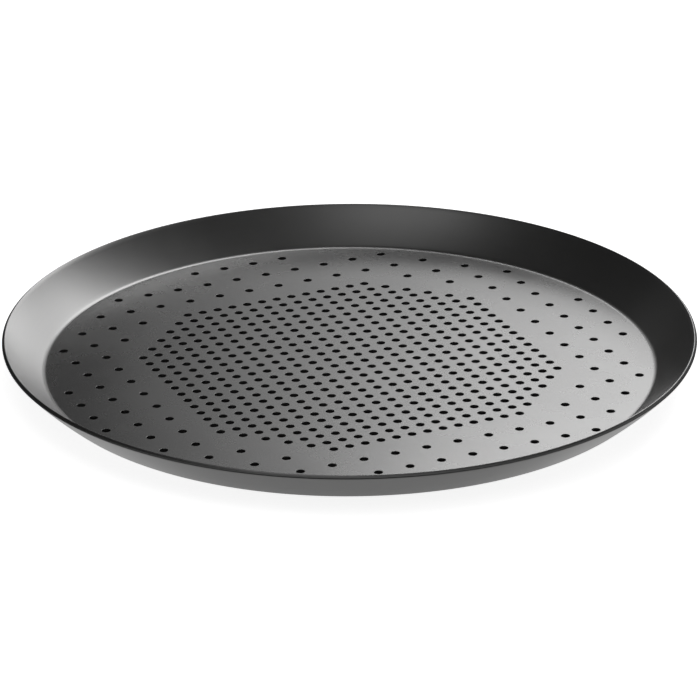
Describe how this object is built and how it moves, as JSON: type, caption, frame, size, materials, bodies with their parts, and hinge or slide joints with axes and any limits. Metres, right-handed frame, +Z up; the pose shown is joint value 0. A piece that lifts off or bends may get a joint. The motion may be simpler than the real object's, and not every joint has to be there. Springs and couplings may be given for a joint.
{
  "type": "pizza pan",
  "caption": "Shallow round pizza pan of hard-anodised aluminium sheet, with a flared wall, a plain trimmed rim and a floor perforated with vent holes.",
  "frame": {"origin": "centre of the underside, on the surface that the pan stands on", "axes": "+Z up along the axis of the pan; +X and +Y along the rows and columns of the hole grid"},
  "size_m": [0.2652, 0.2652, 0.0151],
  "materials": {
    "anodised_aluminium": "satin hard-anodised dark grey, lightly marked by spinning"
  },
  "bodies": {
    "root": {"pizza_pan": "anodised_aluminium"}
  },
  "joints": []
}
